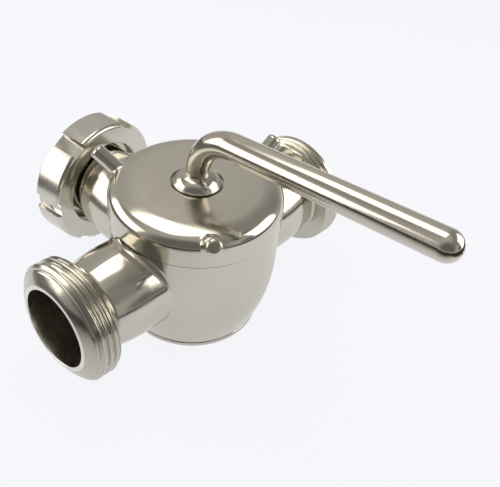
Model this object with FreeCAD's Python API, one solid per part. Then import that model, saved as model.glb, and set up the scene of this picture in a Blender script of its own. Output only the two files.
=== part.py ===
import FreeCAD, Part
import math
import os

from FreeCAD import Placement, Rotation, Vector

# Sanitary three-way plug valve, DN 50, in millimetres.
# The plug turns about Z, the origin is the centre of the base's lower face, the straight
# run lies along X, the branch with the union nut along +Y, and the lever points to -Y.

# Flow passage and welding necks
bore_r = 25.0            # bore of a DN 50 line
neck_wall = 5.8          # wall of a cast neck
neck_len = 32.2          # from the pot wall to the end of a neck
crown_len = 24.5         # stretch over which a neck narrows towards its end
crown_drop = 2.6         # how much it narrows
neck_end_round = 5.0     # rounding that follows, down to the tube welded on
neck_end_step = 0.1      # what is left of the neck's end outside that tube
neck_root_fillet = 4.5   # where a neck grows out of the pot

# Round slotted nut of the union
thread_stand = 14.0      # crest of the Rd 78 x 1/6 inch pipe thread outside the bore
thread_depth = 2.0       # crest to root
nut_wall = 7.0           # from the thread crest to the outside of the nut
nut_width = 22.0
nut_flange_t = 5.0       # back wall that pulls on the liner's collar
nut_back_round = 3.0     # rounding of the edge at the back
nut_front_round = 1.2
nut_slots = 6
nut_slot_w = 11.0
nut_slot_depth = 3.0
nut_slot_turn = 55.0     # degrees from +X to the first slot
nut_hole_clear = 4.9     # hole in the back wall over the liner
nut_hang_gap = 0.3       # what is left of it where the hanging nut rests
nut_lean = 6.0           # degrees by which the loose nut leans
nut_lean_reach = 14.2    # from the middle of its hole to where it crosses the port's axis
nut_ground_gap = 2.7     # ground clearance of a centred nut

# Cast pot
base_t = 4.0             # welded base disc
base_lip = 0.2           # base disc outside the foot of the bowl
base_edge = 1.6
pot_stand = 30.0         # pot wall outside the bore
bowl_h = 46.0            # height over which the bowl swells to pot_r
bowl_sweep_r = 114.0     # radius of the bowl's outline
rim_shelf = 4.0          # step from the pot wall in to the threaded mouth
shelf_lift = 0.2         # shelf above the top of the necks
mouth_wall = 4.5
mouth_chamfer = 1.0

# Tapered plug, 1 in 14 on the radius
seat_slope = 1.0 / 14.0
plug_clear = 0.08        # running fit of the lapped taper
plug_floor_gap = 2.2
plug_sunk = 10.0         # top of the plug below the mouth
port_land = 2.3          # plug left between the passage and a groove
plug_chamfer = 0.8
seal_r = 2.3             # section radius of the plug's O-rings
seal_clear = 0.3         # relaxed O-ring to the wall that it seals on
seal_bed = 0.05          # O-ring to the bottom of its groove
seal_side = 0.3          # O-ring to each side of its groove
seal_land = 2.0          # plug left between a groove and the end of the plug

# Stem, welded up from the plug's socket
stem_r = 15.5
stem_spigot_r = 10.0
socket_floor_t = 3.5     # plug left between the stem's socket and the passage
stem_tenon_r = 5.0
stem_tenon_len = 5.0
weld_fit = 0.02          # radial play of spigots in their sockets
stem_seal_r = 1.5

# Screw cap
cap_overhang = 0.9       # cap outside the pot wall
cap_wall = 4.6
skirt_gap = 0.4          # open seam between skirt and shelf
skirt_chamfer = 0.6
thread_clear = 0.3       # between the mouth and the skirt's thread
shoulder_r = 8.4
crown_rise = 0.9         # how much the top domes up to the centre
cap_hole_clear = 0.5
cap_lip_t = 4.0          # lip of the cap round the stem
gasket_t = 3.0
gasket_inset = 0.3       # flat gasket inside the edges of the mouth
boss_wall = 7.0          # boss under the roof round the bush
boss_drop = 2.9          # boss below the roof
peg_azimuths = [-3.0, 117.5, 234.5]  # degrees, set by eye when they are welded on
peg_r = 5.0
peg_reach = 18.3         # outside the shoulder
peg_sunk = 2.6           # socket in the shoulder
peg_angle = 37.0         # degrees above level
peg_end_round = 2.6
peg_fit = 0.03

# Flanged bush and disc springs on the stem
bush_wall = 3.4
bush_clear = 0.1         # running fit on the stem
bush_seat_clear = 0.1    # running fit in the cap
bush_lip = 5.0           # flange outside the bush
bush_flange_t = 2.5
spring_bore_clear = 0.5
spring_width = 11.0
spring_t = 2.0

# Bent lever
foot_rim = 1.4           # straight rim of the foot above the stem
foot_round = 1.2
lever_neck_r = 7.5
lever_neck_len = 0.8     # straight between the flare of the foot and the bend
lever_bend_r = 33.0
lever_incline = 7.7      # degrees of the grip above level
grip_start_r = 8.4
grip_end_r = 8.9
grip_len = 170.4         # from the crossing of the axes to the centre of the round end

# Welded ends of the straight run
end_wall = 1.5           # wall of the DN 50 tube
end_tube_len = 5.3       # from the neck to the thread collar
end_root_fillet = 2.0
collar_len = 14.6
collar_back_chamfer = 1.9
collar_front_chamfer = 1.6
nose_step = 3.2          # step from the thread crest in to the nose
nose_len = 5.8
nose_bulge = 0.9         # how much the nose's cone swells
mouth_lead = 0.9         # how much the bore widens towards its mouth
mouth_lead_len = 6.0
rim_t = 1.9              # flat rim round the mouth
rim_round = 0.5

# Liner of the union
liner_wall = 1.5
liner_tube_len = 15.8    # from the neck to the collar
liner_collar_clear = 2.8 # collar inside the nut's thread
liner_collar_t = 2.0
liner_cone_len = 7.0
liner_nose_wall = 4.6
liner_root_fillet = 1.0

# What follows from them
pot_r = bore_r + pot_stand
neck_r = bore_r + neck_wall
neck_reach = pot_r + neck_len
neck_end_r = bore_r + end_wall + neck_end_step
thread_r = bore_r + thread_stand
nut_r = thread_r + nut_wall
nut_root_r = thread_r - thread_depth
port_z = nut_r + nut_ground_gap
groove_w = 2 * (seal_r + seal_side)
passage_end = bore_r + port_land
plug_top_z = port_z + passage_end + groove_w + seal_land
plug_foot_z = port_z - passage_end - groove_w - seal_land
upper_seal_z = port_z + passage_end + groove_w / 2
lower_seal_z = port_z - passage_end - groove_w / 2
floor_z = plug_foot_z - plug_floor_gap
shelf_z = port_z + neck_r + shelf_lift
mouth_top_z = plug_top_z + plug_sunk
mouth_r = pot_r - rim_shelf
seat_top_r = mouth_r - mouth_wall
roof_z = mouth_top_z + gasket_t
cap_r = pot_r + cap_overhang
cap_edge_z = roof_z + cap_wall
cap_top_z = cap_edge_z + crown_rise
cap_hole_r = stem_r + cap_hole_clear
lip_z = cap_top_z - cap_lip_t
boss_z = roof_z - boss_drop
bush_r = stem_r + bush_clear + bush_wall
bush_foot_z = boss_z - bush_flange_t
socket_z = port_z + bore_r + socket_floor_t
stem_top_z = cap_top_z - foot_rim
stem_seal_z = (bush_foot_z + lip_z) / 2
stem_seal_seat_r = stem_r + bush_clear - seal_clear - stem_seal_r
collar_z = neck_reach + end_tube_len
liner_collar_y = neck_reach + liner_tube_len
ALONG_X, ALONG_Y, UP = Vector(1, 0, 0), Vector(0, 1, 0), Vector(0, 0, 1)
ORIGIN = Vector(0, 0, 0)
PORT_CENTRE = Vector(0, 0, port_z)
PORT_WAYS = [ALONG_X, -ALONG_X, ALONG_Y]
SPARE = 1.0              # how far a cutting tool stands clear of what it cuts


def bend(centre, radius, start, end):
    """Arc step of an outline about centre, between two angles in degrees."""
    def on(angle):
        turn = math.radians(angle)
        return centre[0] + radius * math.cos(turn), centre[1] + radius * math.sin(turn)
    return on((start + end) / 2), on(end)


def bulge(start, end, height):
    """Arc step of an outline from start to end that stands height off its chord."""
    run, rise = end[0] - start[0], end[1] - start[1]
    chord = math.hypot(run, rise)
    middle = ((start[0] + end[0]) / 2 - rise / chord * height,
              (start[1] + end[1]) / 2 + run / chord * height)
    return middle, end


def turned(outline):
    """Solid turned about Z from a closed half-section of (radius, height) steps.

    A step is a point reached by a line, or a pair of points reached by an arc.
    """
    def at(point):
        return Vector(point[0], 0, point[1])
    here = first = at(outline[0])
    edges = []
    for step in outline[1:]:
        if isinstance(step[0], tuple):
            there = at(step[1])
            edges.append(Part.Arc(here, at(step[0]), there).toShape())
        else:
            there = at(step)
            edges.append(Part.LineSegment(here, there).toShape())
        here = there
    edges.append(Part.LineSegment(here, first).toShape())
    return Part.Face(Part.Wire(edges)).revolve(ORIGIN, UP, 360)


def ring(inner_r, outer_r, low, high):
    """Plain ring about Z."""
    return turned([(inner_r, low), (outer_r, low), (outer_r, high), (inner_r, high)])


def aimed(shape, way, foot=PORT_CENTRE):
    """Shape built up along Z from the origin, laid along way from foot."""
    placed = shape.copy()
    placed.Placement = Placement(foot, Rotation(UP, way)).multiply(shape.Placement)
    return placed


def round_ring(middle_r, section_r, height):
    """O-ring about Z."""
    return Part.makeTorus(middle_r, section_r, Vector(0, 0, height), UP)


def seat_radius(height):
    """Radius of the tapered seat at a height."""
    return seat_top_r - (plug_top_z - height) * seat_slope


def neck_blank():
    """Neck with its narrowing, rounded end, about Z, from the middle of the valve outwards."""
    sweep_r = (crown_len ** 2 + crown_drop ** 2) / (2 * crown_drop)
    sweep = math.asin(crown_len / sweep_r)
    round_r = neck_r - crown_drop - neck_end_round * math.cos(sweep)
    turn = math.acos((neck_end_r - round_r) / neck_end_round)
    round_z = neck_reach - neck_end_round * math.sin(turn)
    crown_z = round_z + neck_end_round * math.sin(sweep) - crown_len
    return turned([
        (0, 0), (neck_r, 0), (neck_r, crown_z),
        bend((neck_r - sweep_r, crown_z), sweep_r, 0, math.degrees(sweep)),
        bend((round_r, round_z), neck_end_round, math.degrees(sweep), math.degrees(turn)),
        (0, neck_reach)])


def bowl_foot():
    """Angle and radius at which the bowl's outline meets the base."""
    start = -math.degrees(math.asin(bowl_h / bowl_sweep_r))
    return start, pot_r - bowl_sweep_r * (1 - math.cos(math.radians(start)))


def pot_blank():
    """Outside of the pot, drawn on up past its shelf so that the necks can be blended in."""
    start, foot_r = bowl_foot()
    over = mouth_top_z + neck_root_fillet
    return turned([
        (0, base_t), (foot_r, base_t),
        bend((pot_r - bowl_sweep_r, base_t + bowl_h), bowl_sweep_r, start, 0),
        (pot_r, over), (0, over)])


def valve_body():
    """Cast pot with three necks, a tapered seat and a mouth for the screw cap."""
    body = pot_blank().fuse([aimed(neck_blank(), way) for way in PORT_WAYS])
    roots = [edge for edge in body.Edges if isinstance(edge.Curve, Part.BSplineCurve)]
    body = body.makeFillet(neck_root_fillet, roots)
    over = mouth_top_z + neck_root_fillet + SPARE
    around = ring(mouth_r, neck_reach, shelf_z, over)
    chamfer = turned([
        (mouth_r - mouth_chamfer, mouth_top_z), (mouth_r + SPARE, mouth_top_z),
        (mouth_r + SPARE, mouth_top_z - mouth_chamfer), (mouth_r, mouth_top_z - mouth_chamfer)])
    above = Part.makeCylinder(neck_reach, over, Vector(0, 0, mouth_top_z))
    cavity = turned([
        (0, floor_z), (seat_radius(floor_z), floor_z), (seat_top_r, plug_top_z),
        (seat_top_r, over), (0, over)])
    bores = [aimed(Part.makeCylinder(bore_r, neck_reach + SPARE), way) for way in PORT_WAYS]
    return body.cut([around, chamfer, above, cavity] + bores)


def base_plate():
    """Disc welded under the pot, which the valve stands on."""
    base_r = bowl_foot()[1] + base_lip
    edge_r = base_r - base_edge
    return turned([
        (0, 0), (edge_r, 0), bend((edge_r, base_edge), base_edge, -90, 0),
        (base_r, base_t - base_edge),
        bend((edge_r, base_t - base_edge), base_edge, 0, 90), (0, base_t)])


def threaded_end(way):
    """Male end for a union nut: tube, thread collar and a swelling cone round the bore."""
    tube_r = bore_r + end_wall
    mouth_r = bore_r + mouth_lead
    nose_z = collar_z + collar_len
    face_z = nose_z + nose_len
    nose_r = thread_r - nose_step
    return aimed(turned([
        (bore_r, neck_reach), (tube_r, neck_reach), (tube_r, collar_z - end_root_fillet),
        bend((tube_r + end_root_fillet, collar_z - end_root_fillet), end_root_fillet, 180, 90),
        (thread_r - collar_back_chamfer, collar_z), (thread_r, collar_z + collar_back_chamfer),
        (thread_r, nose_z - collar_front_chamfer), (thread_r - collar_front_chamfer, nose_z),
        (nose_r, nose_z), bulge((nose_r, nose_z), (mouth_r + rim_t, face_z), -nose_bulge),
        (mouth_r + rim_round, face_z),
        bend((mouth_r + rim_round, face_z - rim_round), rim_round, 90, 180),
        (bore_r, face_z - mouth_lead_len)]), way)


def union_liner():
    """Welded liner of the union, with the collar that the nut pulls on."""
    tube_r = bore_r + liner_wall
    collar_r = nut_root_r - liner_collar_clear
    cone_z = liner_collar_y + liner_collar_t
    face_z = cone_z + liner_cone_len
    return aimed(turned([
        (bore_r, neck_reach), (tube_r, neck_reach), (tube_r, liner_collar_y - liner_root_fillet),
        bend((tube_r + liner_root_fillet, liner_collar_y - liner_root_fillet),
             liner_root_fillet, 180, 90),
        (collar_r, liner_collar_y), (collar_r, cone_z),
        (bore_r + liner_nose_wall, face_z), (bore_r, face_z)]), ALONG_Y)


def nut_pose():
    """Middle of the hanging nut's inner back face, and the way its axis points.

    The nut leans until its back wall meets the liner's collar, and sinks until its hole
    rests on the liner or its thread on the collar.
    """
    lean = math.radians(nut_lean)
    back_swing = math.sin(lean) * (nut_lean_reach - nut_flange_t / 2)
    collar_r = nut_root_r - liner_collar_clear
    back_y = liner_collar_y - nut_hang_gap - math.tan(lean) * (collar_r - back_swing)
    hole_room = nut_hole_clear - nut_hang_gap - math.sin(lean) * nut_flange_t / 2
    hole_drop = math.sqrt(hole_room ** 2 - (math.sin(lean) * nut_lean_reach) ** 2)
    collar_room = liner_collar_clear - nut_hang_gap
    collar_swing = back_swing - math.tan(lean) * (liner_collar_y - back_y)
    collar_drop = math.sqrt(collar_room ** 2 - collar_swing ** 2)
    foot = Vector(back_swing, back_y, port_z - min(hole_drop, collar_drop))
    return foot, Vector(-math.sin(lean), math.cos(lean), 0)


def union_nut():
    """Round slotted nut, hanging loose on the liner and leaning against its collar."""
    hole_r = bore_r + liner_wall + nut_hole_clear
    back_r = nut_r - nut_back_round
    front_r = nut_r - nut_front_round
    front_z = nut_width - nut_front_round
    nut = turned([
        (hole_r, 0), (back_r, 0), bend((back_r, nut_back_round), nut_back_round, -90, 0),
        (nut_r, front_z), bend((front_r, front_z), nut_front_round, 0, 90),
        (thread_r, nut_width), (nut_root_r, nut_width - thread_depth),
        (nut_root_r, nut_flange_t), (hole_r, nut_flange_t)])
    slot = Part.makeBox(nut_slot_depth + SPARE, nut_slot_w, nut_width + 2 * SPARE,
                        Vector(nut_r - nut_slot_depth, -nut_slot_w / 2, -SPARE))
    slots = []
    for index in range(nut_slots):
        cutter = slot.copy()
        cutter.rotate(ORIGIN, UP, -nut_slot_turn - index * 360.0 / nut_slots)
        slots.append(cutter)
    nut = nut.cut(slots)
    nut.translate(Vector(0, 0, -nut_flange_t))
    foot, way = nut_pose()
    return aimed(nut, way, foot)


def seal_seat(height):
    """Middle radius of a plug O-ring that lies at a height."""
    return seat_radius(height) - seal_clear - seal_r


def plug():
    """Tapered plug with a T-shaped passage, two O-ring grooves and a socket for the stem."""
    foot_r = seat_radius(plug_foot_z) - plug_clear
    top_r = seat_top_r - plug_clear
    body = turned([
        (0, plug_foot_z), (foot_r - plug_chamfer, plug_foot_z),
        (foot_r, plug_foot_z + plug_chamfer), (top_r, plug_top_z - plug_chamfer),
        (top_r - plug_chamfer, plug_top_z), (0, plug_top_z)])
    tools = [aimed(Part.makeCylinder(bore_r, seat_top_r + SPARE), way) for way in PORT_WAYS]
    for height in (upper_seal_z, lower_seal_z):
        floor_r = seal_seat(height) - seal_r - seal_bed
        tools.append(ring(floor_r, mouth_r, height - groove_w / 2, height + groove_w / 2))
    tools.append(Part.makeCylinder(stem_spigot_r + weld_fit, plug_top_z, Vector(0, 0, socket_z)))
    return body.cut(tools)


def stem():
    """Turned stem: a spigot in the plug, a journal through bush and cap, a tenon on top."""
    tenon_z = stem_top_z + stem_tenon_len
    shaft = turned([
        (0, socket_z), (stem_spigot_r, socket_z), (stem_spigot_r, plug_top_z),
        (stem_r, plug_top_z), (stem_r, stem_top_z), (stem_tenon_r, stem_top_z),
        (stem_tenon_r, tenon_z), (0, tenon_z)])
    half = stem_seal_r + seal_side
    floor_r = stem_seal_seat_r - stem_seal_r - seal_bed
    return shaft.cut(ring(floor_r, stem_r + SPARE, stem_seal_z - half, stem_seal_z + half))


def peg_frame(azimuth):
    """Bottom of a grip peg's socket, and the way the peg points, square to the shoulder."""
    turn, rise = math.radians(azimuth), math.radians(peg_angle)
    out = Vector(math.cos(turn), math.sin(turn), 0)
    way = out * math.cos(rise) + UP * math.sin(rise)
    middle = out * (cap_r - shoulder_r) + UP * (cap_edge_z - shoulder_r)
    return middle + way * (shoulder_r - peg_sunk), way


def grip_peg(azimuth):
    """Round peg by which the cap is turned."""
    foot, way = peg_frame(azimuth)
    length = peg_sunk + peg_reach
    return aimed(turned([
        (0, 0), (peg_r, 0), (peg_r, length - peg_end_round),
        bend((peg_r - peg_end_round, length - peg_end_round), peg_end_round, 0, 90),
        (0, length)]), way, foot)


def screw_cap():
    """Domed cap that screws over the mouth and holds the plug down."""
    inner_r = mouth_r + thread_clear
    foot_z = shelf_z + skirt_gap
    edge_r = cap_r - shoulder_r
    seat_r = bush_r + bush_seat_clear
    crown_sweep_r = (edge_r ** 2 - cap_hole_r ** 2) / (2 * crown_rise)
    crown_sag = (edge_r - cap_hole_r) ** 2 / (8 * crown_sweep_r)
    cap = turned([
        (inner_r + skirt_chamfer, foot_z), (cap_r - skirt_chamfer, foot_z),
        (cap_r, foot_z + skirt_chamfer), (cap_r, cap_edge_z - shoulder_r),
        bend((edge_r, cap_edge_z - shoulder_r), shoulder_r, 0, 90),
        bulge((edge_r, cap_edge_z), (cap_hole_r, cap_top_z), -crown_sag),
        (cap_hole_r, lip_z), (seat_r, lip_z), (seat_r, boss_z),
        (seat_r + boss_wall, boss_z), (seat_r + boss_wall, roof_z), (inner_r, roof_z),
        (inner_r, foot_z + skirt_chamfer)])
    socket = Part.makeCylinder(peg_r + peg_fit, peg_sunk + shoulder_r)
    return cap.cut([aimed(socket, way, foot) for foot, way in map(peg_frame, peg_azimuths)])


def cap_gasket():
    """Flat gasket on the rim of the mouth."""
    return ring(seat_top_r + gasket_inset, mouth_r - mouth_chamfer, mouth_top_z, roof_z)


def cap_bush():
    """Flanged bush in the cap, which guides the stem and takes the springs' load."""
    inner_r = stem_r + bush_clear
    return turned([
        (inner_r, bush_foot_z), (bush_r + bush_lip, bush_foot_z), (bush_r + bush_lip, boss_z),
        (bush_r, boss_z), (bush_r, lip_z), (inner_r, lip_z)])


def disc_spring(low, inner_lift, outer_lift):
    """Disc spring from a height up, with its inner and outer edge lifted off that."""
    inner_r = stem_r + spring_bore_clear
    outer_r = inner_r + spring_width
    return turned([
        (inner_r, low + inner_lift), (outer_r, low + outer_lift),
        (outer_r, low + outer_lift + spring_t), (inner_r, low + inner_lift + spring_t)])


def disc_springs():
    """Pair of disc springs, edge to edge, that press the plug into its seat."""
    each = (bush_foot_z - plug_top_z) / 2
    lift = each - spring_t
    return disc_spring(plug_top_z, 0, lift), disc_spring(plug_top_z + each, lift, 0)


def lever_bend(start_z, turn):
    """Bend of the lever towards +X, which thickens from the neck to the grip."""
    def on(angle):
        swing = math.radians(angle)
        return Vector(lever_bend_r * (1 - math.cos(swing)), 0,
                      start_z + lever_bend_r * math.sin(swing))
    spine = Part.Wire(Part.Arc(on(0), on(turn / 2), on(turn)).toShape())
    tilt = math.radians(turn)
    onward = Vector(math.sin(tilt), 0, math.cos(tilt))
    pipe = Part.BRepOffsetAPI.MakePipeShell(spine)
    pipe.add(Part.Wire(Part.makeCircle(lever_neck_r, on(0), UP)))
    pipe.add(Part.Wire(Part.makeCircle(grip_start_r, on(turn), onward)))
    pipe.build()
    pipe.makeSolid()
    return pipe.shape(), on(turn), onward


def lever():
    """Bent round bar: a foot flared out of a short neck onto the stem, and a long grip."""
    turn = 90 - lever_incline
    rim_z = stem_top_z + foot_rim
    rim_r = stem_r - foot_round
    flare_r = rim_r - lever_neck_r
    flare_z = rim_z + foot_round + flare_r
    neck_top_z = flare_z + lever_neck_len
    neck = turned([
        (0, stem_top_z), (stem_r, stem_top_z), (stem_r, rim_z),
        bend((rim_r, rim_z), foot_round, 0, 90),
        bend((rim_r, flare_z), flare_r, 270, 180),
        (lever_neck_r, neck_top_z), (0, neck_top_z)])
    elbow, grip_foot, onward = lever_bend(neck_top_z, turn)
    straight = grip_len - lever_bend_r * math.tan(math.radians(turn / 2))
    grip = aimed(turned([
        (0, 0), (grip_start_r, 0), (grip_end_r, straight),
        bend((0, straight), grip_end_r, 0, 90)]), onward, grip_foot)
    socket = Part.makeCylinder(stem_tenon_r + weld_fit, stem_tenon_len, Vector(0, 0, stem_top_z))
    bar = neck.fuse([elbow, grip]).cut(socket)
    bar.rotate(ORIGIN, UP, -90)
    return bar


def sub_parts():
    """Every sub-part by its name."""
    lower_spring, upper_spring = disc_springs()
    parts = {
        "valve_body": valve_body(),
        "base_plate": base_plate(),
        "threaded_end_front": threaded_end(-ALONG_X),
        "threaded_end_rear": threaded_end(ALONG_X),
        "union_liner": union_liner(),
        "union_nut": union_nut(),
        "screw_cap": screw_cap(),
        "cap_gasket": cap_gasket(),
        "cap_bush": cap_bush(),
        "plug": plug(),
        "plug_seal_upper": round_ring(seal_seat(upper_seal_z), seal_r, upper_seal_z),
        "plug_seal_lower": round_ring(seal_seat(lower_seal_z), seal_r, lower_seal_z),
        "disc_spring_lower": lower_spring,
        "disc_spring_upper": upper_spring,
        "stem": stem(),
        "stem_seal": round_ring(stem_seal_seat_r, stem_seal_r, stem_seal_z),
        "lever": lever(),
    }
    for number, azimuth in enumerate(peg_azimuths, 1):
        parts["grip_peg_%d" % number] = grip_peg(azimuth)
    return parts


os.makedirs("parts", exist_ok=True)
for node, shape in sub_parts().items():
    shape.exportStep("parts/" + node + ".step")
    print(node, shape.ShapeType, shape.isValid(), len(shape.Solids), round(shape.Volume))
print("port height", port_z, "nut", nut_pose(), "cap", shelf_z, roof_z, cap_top_z)
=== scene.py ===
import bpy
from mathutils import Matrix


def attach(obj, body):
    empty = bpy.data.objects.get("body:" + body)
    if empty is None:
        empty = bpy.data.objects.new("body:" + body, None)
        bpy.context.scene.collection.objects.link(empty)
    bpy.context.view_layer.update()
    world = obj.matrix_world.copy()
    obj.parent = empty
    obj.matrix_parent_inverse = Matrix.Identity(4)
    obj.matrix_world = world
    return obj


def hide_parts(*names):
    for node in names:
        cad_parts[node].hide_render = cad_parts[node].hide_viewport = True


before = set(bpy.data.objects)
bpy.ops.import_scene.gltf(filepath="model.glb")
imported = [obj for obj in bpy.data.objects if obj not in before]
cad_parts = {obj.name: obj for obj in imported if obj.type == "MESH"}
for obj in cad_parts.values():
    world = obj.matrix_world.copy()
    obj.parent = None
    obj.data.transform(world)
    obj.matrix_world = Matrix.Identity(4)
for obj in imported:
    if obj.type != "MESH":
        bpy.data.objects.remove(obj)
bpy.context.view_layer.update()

import logging
import math
from dataclasses import dataclass, field
from enum import Enum
from typing import Any

import bpy
from mathutils import Matrix, Vector

log = logging.getLogger("plug_valve")

MM = 0.001
PORT_Z = 48.7
NUT_FOOT = (1.22298302, 99.23397585, 46.34080315)
NUT_WAY = (-0.10452846, 0.9945219, 0.0)
NUT_LEAN = 6.0
TOUCH_MM = 1e-4
SAME_MM = 1e-6
NOISE_SPAN = (0.3, 0.7)
TINT_SWAY = 0.02
NodeTree = bpy.types.NodeTree
Node = bpy.types.Node
Socket = bpy.types.NodeSocket
Material = bpy.types.Material
Piece = bpy.types.Object
Outline = list[tuple[float, float]]


class Axis(Enum):
    """Axis about which a surface was turned: its foot in mm, and the turn of Z onto it in degrees."""

    RUN = ((0.0, 0.0, PORT_Z), (0.0, 90.0, 0.0))
    BRANCH = ((0.0, 0.0, PORT_Z), (-90.0, 0.0, 0.0))
    NUT = (NUT_FOOT, (-90.0, 0.0, NUT_LEAN))
    PLUG = ((0.0, 0.0, 0.0), (0.0, 0.0, 0.0))


def deselect() -> None:
    """Leaves nothing selected and object mode on."""
    if bpy.context.object and bpy.context.object.mode != "OBJECT":
        bpy.ops.object.mode_set(mode="OBJECT")
    bpy.ops.object.select_all(action="DESELECT")


def pick(piece: Piece) -> None:
    """Selects one piece alone, and makes it the active one."""
    deselect()
    piece.select_set(True)
    bpy.context.view_layer.objects.active = piece


def linear(colour: str) -> tuple[float, float, float, float]:
    """Turns an sRGB hex colour to linear light.

    Args:
        colour: Six hex digits, such as "C8C4B8".

    Returns:
        Linear red, green, blue and an alpha of 1.
    """
    parts = [int(colour[index:index + 2], 16) / 255 for index in (0, 2, 4)]
    lights = [part / 12.92 if part <= 0.04045 else ((part + 0.055) / 1.055) ** 2.4 for part in parts]
    return lights[0], lights[1], lights[2], 1.0


def add_node(tree: NodeTree, kind: str, settings: dict[str, Any] | None = None,
             **values: Any) -> Node:
    """Adds a node, sets it up and links it.

    Args:
        tree: Node tree that gets the node.
        kind: Node type, such as "ShaderNodeTexNoise".
        settings: Properties of the node by name.
        values: Input by name, with spaces as underscores or "in0" for an input's place: a
            socket is linked, anything else is set.

    Returns:
        The new node.
    """
    node = tree.nodes.new(kind)
    for name, value in (settings or {}).items():
        setattr(node, name, value)
    for name, value in values.items():
        key = int(name[2:]) if name[:2] == "in" and name[2:].isdigit() else name.replace("_", " ")
        if isinstance(value, bpy.types.NodeSocket):
            tree.links.new(value, node.inputs[key])
        else:
            node.inputs[key].default_value = value
    return node


def direction(azimuth: float, elevation: float) -> Vector:
    """Works out the unit vector of a direction.

    Args:
        azimuth: Degrees from +X towards +Y.
        elevation: Degrees above the floor.

    Returns:
        The vector.
    """
    turn, rise = math.radians(azimuth), math.radians(elevation)
    return Vector((math.cos(turn) * math.cos(rise), math.sin(turn) * math.cos(rise), math.sin(rise)))


def arc(centre: tuple[float, float], radius: float, start: float, end: float,
        steps: int) -> Outline:
    """Points of an outline along an arc.

    Args:
        centre: Radius and height of its centre in mm.
        radius: Radius in mm.
        start: First angle in degrees.
        end: Last angle in degrees.
        steps: Number of chords.

    Returns:
        The points, both ends included.
    """
    turns = [math.radians(start + (end - start) * index / steps) for index in range(steps + 1)]
    return [(centre[0] + radius * math.cos(turn), centre[1] + radius * math.sin(turn))
            for turn in turns]


def swell(start: tuple[float, float], end: tuple[float, float], height: float,
          steps: int) -> Outline:
    """Points of an outline between two ends, swelling off their chord.

    Args:
        start: Radius and height of the first end in mm.
        end: Radius and height of the other end in mm.
        height: How far the middle stands off to the left of the chord, in mm.
        steps: Number of chords.

    Returns:
        The points, both ends left out.
    """
    run, rise = end[0] - start[0], end[1] - start[1]
    chord = math.hypot(run, rise)
    points = []
    for index in range(1, steps):
        share = index / steps
        off = height * 4 * share * (1 - share)
        points.append((start[0] + run * share - rise / chord * off,
                       start[1] + rise * share + run / chord * off))
    return points


def spun(name: str, outline: Outline, steps: int) -> Piece:
    """Turns a closed outline about Z, as on a lathe.

    Args:
        name: Name of the piece.
        outline: Points (radius, height) in mm.
        steps: Facets round the piece.

    Returns:
        The piece, with its faces pointing outwards.
    """
    deselect()
    bpy.ops.mesh.primitive_plane_add(size=MM)
    piece = bpy.context.object
    piece.name = piece.data.name = name
    bpy.ops.object.mode_set(mode="EDIT")
    bpy.ops.mesh.merge(type="CENTER")
    here = outline[0]
    bpy.ops.transform.translate(value=(here[0] * MM, 0, here[1] * MM))
    for there in outline[1:] + outline[:1]:
        step = ((there[0] - here[0]) * MM, 0, (there[1] - here[1]) * MM)
        bpy.ops.mesh.extrude_region_move(TRANSFORM_OT_translate={"value": step})
        here = there
    bpy.ops.mesh.select_all(action="SELECT")
    bpy.ops.mesh.spin(steps=steps, angle=math.tau, center=(0, 0, 0), axis=(0, 0, 1),
                      use_auto_merge=True)
    tidy_mesh()
    return piece


def tidy_mesh() -> None:
    """Merges the doubles of the mesh in edit mode, turns its faces outwards and leaves edit mode."""
    bpy.ops.mesh.select_all(action="SELECT")
    bpy.ops.mesh.remove_doubles(threshold=TOUCH_MM * MM)
    bpy.ops.mesh.normals_make_consistent(inside=False)
    bpy.ops.object.mode_set(mode="OBJECT")


def finish_modifier(piece: Piece, kind: str, **settings: Any) -> None:
    """Adds a modifier to the active piece, and applies it.

    Args:
        piece: The piece.
        kind: Modifier type, such as "BEVEL".
        settings: Properties of the modifier by name.
    """
    modifier = piece.modifiers.new(kind.lower(), kind)
    for name, value in settings.items():
        setattr(modifier, name, value)
    bpy.ops.object.modifier_apply(modifier=modifier.name)


def smooth(piece: Piece, angle: float = 32.0) -> None:
    """Shades a piece smooth, with the broad faces leading.

    Args:
        piece: The piece.
        angle: Sharpest edge that is still shaded smooth, in degrees.
    """
    pick(piece)
    bpy.ops.object.shade_smooth_by_angle(angle=math.radians(angle))
    finish_modifier(piece, "WEIGHTED_NORMAL", keep_sharp=True, weight=80)


def lay(piece: Piece, foot: tuple[float, float, float], way: Vector) -> None:
    """Lays a piece that was built up along Z, and puts its place in its mesh.

    Args:
        piece: The piece.
        foot: Where its origin goes, in mm.
        way: Where its Z axis goes.
    """
    pick(piece)
    piece.rotation_mode = "QUATERNION"
    piece.rotation_quaternion = Vector((0, 0, 1)).rotation_difference(way)
    piece.location = Vector(foot) * MM
    bpy.ops.object.transform_apply(location=True, rotation=True, scale=True)
    piece.rotation_mode = "XYZ"


def dress(piece: Piece, material: Material) -> None:
    """Gives a piece one material."""
    piece.data.materials.clear()
    piece.data.materials.append(material)


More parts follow.
